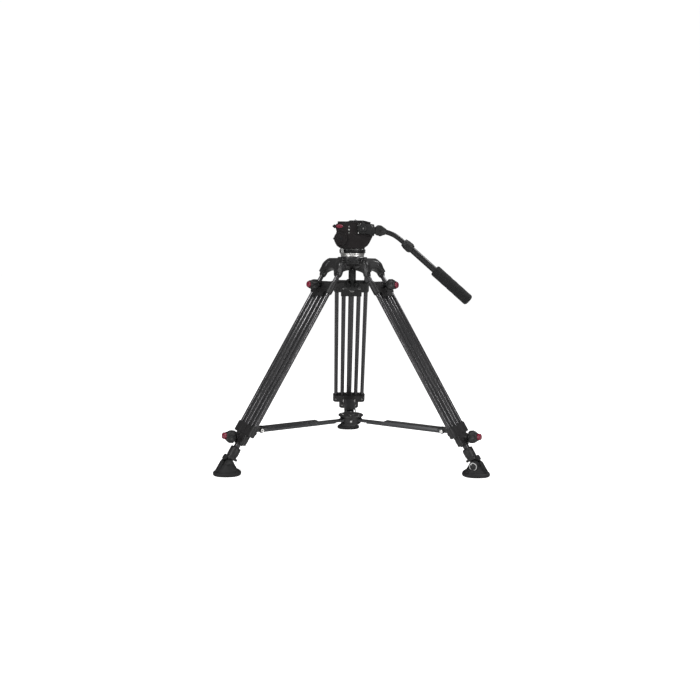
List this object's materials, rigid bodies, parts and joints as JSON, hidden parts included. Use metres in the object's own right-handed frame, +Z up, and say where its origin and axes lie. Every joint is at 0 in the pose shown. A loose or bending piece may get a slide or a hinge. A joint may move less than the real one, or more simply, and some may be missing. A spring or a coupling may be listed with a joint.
{
  "type": "camera tripod",
  "caption": "Camera tripod with paired-tube telescoping legs, a mid-level spreader, a levelling bowl and a fluid pan and tilt head with a side pan handle.",
  "frame": {"origin": "centre of the camera plate's flat top face", "axes": "+Z up, out of the camera plate; -X towards the camera lens; +X towards the operator, where the pan handle points; -Y the side the pan handle is on"},
  "size_m": [0.8314, 0.7303, 0.767],
  "materials": {
    "cast_grey": "fine-textured dark grey paint on a casting",
    "tube_dark": "black anodised tube with a soft sheen",
    "bracket_grey": "moulded dark grey plastic, lightly textured",
    "knob_plastic": "matt dark grey plastic with soft-touch feel",
    "foot_rubber": "matt dark grey rubber",
    "arm_grey": "grey anodised flat bar",
    "bright_metal": "bright machined metal",
    "head_dark": "satin black paint",
    "head_grey": "satin dark grey paint on a casting",
    "button_red": "glossy red plastic",
    "grip_foam": "closed-cell foam, matt and slightly pitted"
  },
  "bodies": {
    "crown": {"crown": "cast_grey"},
    "cup": {"clamp_cup": "bracket_grey"},
    "ball": {"half_ball": "bright_metal", "pan_base": "head_dark"},
    "bowl_knob": {"bowl_clamp_knob": "knob_plastic"},
    "hub": {"spreader_hub": "bracket_grey"},
    "pan_column": {"pan_housing": "head_dark"},
    "pan_lock": {"pan_lock_lever": "bright_metal"},
    "tilt_head": {"tilt_housing": "head_grey"},
    "plate": {"camera_plate": "head_dark"},
    "release": {"release_button": "button_red"},
    "tilt_lock": {"tilt_lock_lever": "knob_plastic"},
    "drag": {"drag_dial": "head_grey"},
    "handle": {"handle_arm": "knob_plastic"},
    "handle_clamp": {"handle_clamp_knob": "bright_metal"},
    "handle_twist": {"handle_collar": "knob_plastic"},
    "handle_grip": {"handle_extension": "tube_dark", "handle_grip": "grip_foam"},
    "leg1_upper": {"leg_yoke_1": "cast_grey", "outer_tube_a_1": "tube_dark", "outer_tube_b_1": "tube_dark", "leg_lower_casting_1": "bracket_grey"},
    "leg1_middle": {"slider_bracket_1": "bracket_grey", "inner_tube_a_1": "tube_dark", "inner_tube_b_1": "tube_dark", "mid_lower_casting_1": "bracket_grey"},
    "leg1_lower": {"lower_tube_1": "tube_dark"},
    "foot1": {"foot_1": "foot_rubber"},
    "upper_knob1": {"upper_knob_1": "knob_plastic"},
    "lower_knob1": {"lower_knob_1": "knob_plastic"},
    "channel1": {"spreader_channel_1": "arm_grey"},
    "bar1": {"spreader_bar_1": "bracket_grey"},
    "leg2_upper": {"leg_yoke_2": "cast_grey", "outer_tube_a_2": "tube_dark", "outer_tube_b_2": "tube_dark", "leg_lower_casting_2": "bracket_grey"},
    "leg2_middle": {"slider_bracket_2": "bracket_grey", "inner_tube_a_2": "tube_dark", "inner_tube_b_2": "tube_dark", "mid_lower_casting_2": "bracket_grey"},
    "leg2_lower": {"lower_tube_2": "tube_dark"},
    "foot2": {"foot_2": "foot_rubber"},
    "upper_knob2": {"upper_knob_2": "knob_plastic"},
    "lower_knob2": {"lower_knob_2": "knob_plastic"},
    "channel2": {"spreader_channel_2": "arm_grey"},
    "bar2": {"spreader_bar_2": "bracket_grey"},
    "leg3_upper": {"leg_yoke_3": "cast_grey", "outer_tube_a_3": "tube_dark", "outer_tube_b_3": "tube_dark", "leg_lower_casting_3": "bracket_grey"},
    "leg3_middle": {"slider_bracket_3": "bracket_grey", "inner_tube_a_3": "tube_dark", "inner_tube_b_3": "tube_dark", "mid_lower_casting_3": "bracket_grey"},
    "leg3_lower": {"lower_tube_3": "tube_dark"},
    "foot3": {"foot_3": "foot_rubber"},
    "upper_knob3": {"upper_knob_3": "knob_plastic"},
    "lower_knob3": {"lower_knob_3": "knob_plastic"},
    "channel3": {"spreader_channel_3": "arm_grey"},
    "bar3": {"spreader_bar_3": "bracket_grey"}
  },
  "joints": [
    {"name": "leg1_fold", "type": "hinge", "parent": "crown", "child": "leg1_upper", "pos_m": [-0.05075, -0.0293, -0.135], "axis": [0.5, -0.866, 0], "range_deg": [0, 26]},
    {"name": "leg2_fold", "type": "hinge", "parent": "crown", "child": "leg2_upper", "pos_m": [0.05075, -0.0293, -0.135], "axis": [0.5, 0.866, 0], "range_deg": [0, 26]},
    {"name": "leg3_fold", "type": "hinge", "parent": "crown", "child": "leg3_upper", "pos_m": [0, 0.0586, -0.135], "axis": [-1, 0, 0], "range_deg": [0, 26]},
    {"name": "hub_rise", "type": "slide", "parent": "crown", "child": "hub", "axis": [0, 0, 1], "range_m": [0, 0.181]},
    {"name": "arm1_leg_pivot", "type": "hinge", "parent": "leg1_upper", "child": "channel1", "pos_m": [-0.28232, -0.163, -0.641], "axis": [0.5, -0.866, 0], "range_deg": [0, 52]},
    {"name": "arm1_hub_pivot", "type": "hinge", "parent": "hub", "child": "bar1", "pos_m": [-0.02079, -0.012, -0.64], "axis": [0.5, -0.866, 0], "range_deg": [0, 78]},
    {"name": "arm2_leg_pivot", "type": "hinge", "parent": "leg2_upper", "child": "channel2", "pos_m": [0.28232, -0.163, -0.641], "axis": [0.5, 0.866, 0], "range_deg": [0, 52]},
    {"name": "arm2_hub_pivot", "type": "hinge", "parent": "hub", "child": "bar2", "pos_m": [0.02079, -0.012, -0.64], "axis": [0.5, 0.866, 0], "range_deg": [0, 78]},
    {"name": "arm3_leg_pivot", "type": "hinge", "parent": "leg3_upper", "child": "channel3", "pos_m": [0, 0.326, -0.641], "axis": [-1, 0, 0], "range_deg": [0, 52]},
    {"name": "arm3_hub_pivot", "type": "hinge", "parent": "hub", "child": "bar3", "pos_m": [0, 0.024, -0.64], "axis": [-1, 0, 0], "range_deg": [0, 78]},
    {"name": "level_x", "type": "hinge", "parent": "crown", "child": "cup", "pos_m": [0, 0, -0.107], "axis": [1, 0, 0], "range_deg": [-8, 8]},
    {"name": "level_y", "type": "hinge", "parent": "cup", "child": "ball", "pos_m": [0, 0, -0.107], "axis": [0, 1, 0], "range_deg": [-8, 8]},
    {"name": "bowl_clamp_turn", "type": "hinge", "parent": "ball", "child": "bowl_knob", "pos_m": [0, 0, -0.2], "axis": [0, 0, 1], "continuous": true},
    {"name": "pan", "type": "hinge", "parent": "ball", "child": "pan_column", "pos_m": [0, 0, -0.09], "axis": [0, 0, 1], "continuous": true},
    {"name": "pan_lock_turn", "type": "hinge", "parent": "ball", "child": "pan_lock", "pos_m": [-0.033, -0.06, -0.097], "axis": [0, -1, 0], "range_deg": [0, 75]},
    {"name": "tilt", "type": "hinge", "parent": "pan_column", "child": "tilt_head", "pos_m": [0, 0, -0.037], "axis": [0, 1, 0], "range_deg": [-70, 20]},
    {"name": "handle_pitch", "type": "hinge", "parent": "tilt_head", "child": "handle", "pos_m": [0.031, -0.06, -0.027], "axis": [0, -1, 0], "range_deg": [-8, 90]},
    {"name": "handle_extend", "type": "slide", "parent": "handle", "child": "handle_grip", "axis": [0.7565, 0, -0.654], "range_m": [0, 0.11]},
    {"name": "handle_collar_twist", "type": "hinge", "parent": "handle", "child": "handle_twist", "pos_m": [0.1732, -0.06, -0.0804], "axis": [0.7565, 0, -0.654], "range_deg": [0, 90]},
    {"name": "handle_clamp_turn", "type": "hinge", "parent": "tilt_head", "child": "handle_clamp", "pos_m": [0.031, -0.07, -0.027], "axis": [0, -1, 0], "range_deg": [0, 180]},
    {"name": "drag_dial_turn", "type": "hinge", "parent": "tilt_head", "child": "drag", "pos_m": [-0.038, -0.054, -0.058], "axis": [0, -1, 0], "range_deg": [0, 270]},
    {"name": "tilt_lock_turn", "type": "hinge", "parent": "tilt_head", "child": "tilt_lock", "pos_m": [0, 0.056, -0.037], "axis": [0, 1, 0], "range_deg": [0, 60]},
    {"name": "plate_slide", "type": "slide", "parent": "tilt_head", "child": "plate", "axis": [1, 0, 0], "range_m": [-0.02, 0.02]},
    {"name": "release_press", "type": "slide", "parent": "tilt_head", "child": "release", "axis": [0, 1, 0], "range_m": [0, 0.0025], "stiffness_N_per_m": 400},
    {"name": "leg1_middle_slide", "type": "slide", "parent": "leg1_upper", "child": "leg1_middle", "axis": [-0.4573, -0.264, -0.8492], "range_m": [0, 0.445]},
    {"name": "leg1_lower_slide", "type": "slide", "parent": "leg1_middle", "child": "leg1_lower", "axis": [-0.4573, -0.264, -0.8492], "range_m": [0, 0.43]},
    {"name": "leg2_middle_slide", "type": "slide", "parent": "leg2_upper", "child": "leg2_middle", "axis": [0.4573, -0.264, -0.8492], "range_m": [0, 0.445]},
    {"name": "leg2_lower_slide", "type": "slide", "parent": "leg2_middle", "child": "leg2_lower", "axis": [0.4573, -0.264, -0.8492], "range_m": [0, 0.43]},
    {"name": "leg3_middle_slide", "type": "slide", "parent": "leg3_upper", "child": "leg3_middle", "axis": [0, 0.528, -0.8492], "range_m": [0, 0.445]},
    {"name": "leg3_lower_slide", "type": "slide", "parent": "leg3_middle", "child": "leg3_lower", "axis": [0, 0.528, -0.8492], "range_m": [0, 0.43]},
    {"name": "foot1_tilt", "type": "hinge", "parent": "leg1_lower", "child": "foot1", "pos_m": [-0.37403, -0.21595, -0.73542], "axis": [0.5, -0.866, 0], "range_deg": [-30, 20]},
    {"name": "foot2_tilt", "type": "hinge", "parent": "leg2_lower", "child": "foot2", "pos_m": [0.37403, -0.21595, -0.73542], "axis": [0.5, 0.866, 0], "range_deg": [-30, 20]},
    {"name": "foot3_tilt", "type": "hinge", "parent": "leg3_lower", "child": "foot3", "pos_m": [0, 0.43189, -0.73542], "axis": [-1, 0, 0], "range_deg": [-30, 20]},
    {"name": "upper_knob1_turn", "type": "hinge", "parent": "leg1_middle", "child": "upper_knob1", "pos_m": [-0.08687, -0.05016, -0.20209], "axis": [-0.8655, -0.4997, 0.0362], "range_deg": [0, 180]},
    {"name": "lower_knob1_turn", "type": "hinge", "parent": "leg1_middle", "child": "lower_knob1", "pos_m": [-0.33242, -0.19192, -0.65814], "axis": [-0.8526, -0.4923, 0.1753], "range_deg": [0, 180]},
    {"name": "upper_knob2_turn", "type": "hinge", "parent": "leg2_middle", "child": "upper_knob2", "pos_m": [0.08687, -0.05016, -0.20209], "axis": [0.8655, -0.4997, 0.0362], "range_deg": [0, 180]},
    {"name": "lower_knob2_turn", "type": "hinge", "parent": "leg2_middle", "child": "lower_knob2", "pos_m": [0.33242, -0.19192, -0.65814], "axis": [0.8526, -0.4923, 0.1753], "range_deg": [0, 180]},
    {"name": "upper_knob3_turn", "type": "hinge", "parent": "leg3_middle", "child": "upper_knob3", "pos_m": [0, 0.10031, -0.20209], "axis": [0, 0.9993, 0.0362], "range_deg": [0, 180]},
    {"name": "lower_knob3_turn", "type": "hinge", "parent": "leg3_middle", "child": "lower_knob3", "pos_m": [0, 0.38384, -0.65814], "axis": [0, 0.9845, 0.1753], "range_deg": [0, 180]}
  ],
  "couplings": [
    {"joint": "leg2_fold", "follows": "leg1_fold", "ratio": 1},
    {"joint": "leg3_fold", "follows": "leg1_fold", "ratio": 1},
    {"joint": "hub_rise", "follows": "leg1_fold", "m_per_rad": 0.39695},
    {"joint": "arm1_leg_pivot", "follows": "leg1_fold", "ratio": 1.9877},
    {"joint": "arm1_hub_pivot", "follows": "leg1_fold", "ratio": 2.9877},
    {"joint": "arm2_leg_pivot", "follows": "leg1_fold", "ratio": 1.9877},
    {"joint": "arm2_hub_pivot", "follows": "leg1_fold", "ratio": 2.9877},
    {"joint": "arm3_leg_pivot", "follows": "leg1_fold", "ratio": 1.9877},
    {"joint": "arm3_hub_pivot", "follows": "leg1_fold", "ratio": 2.9877}
  ]
}
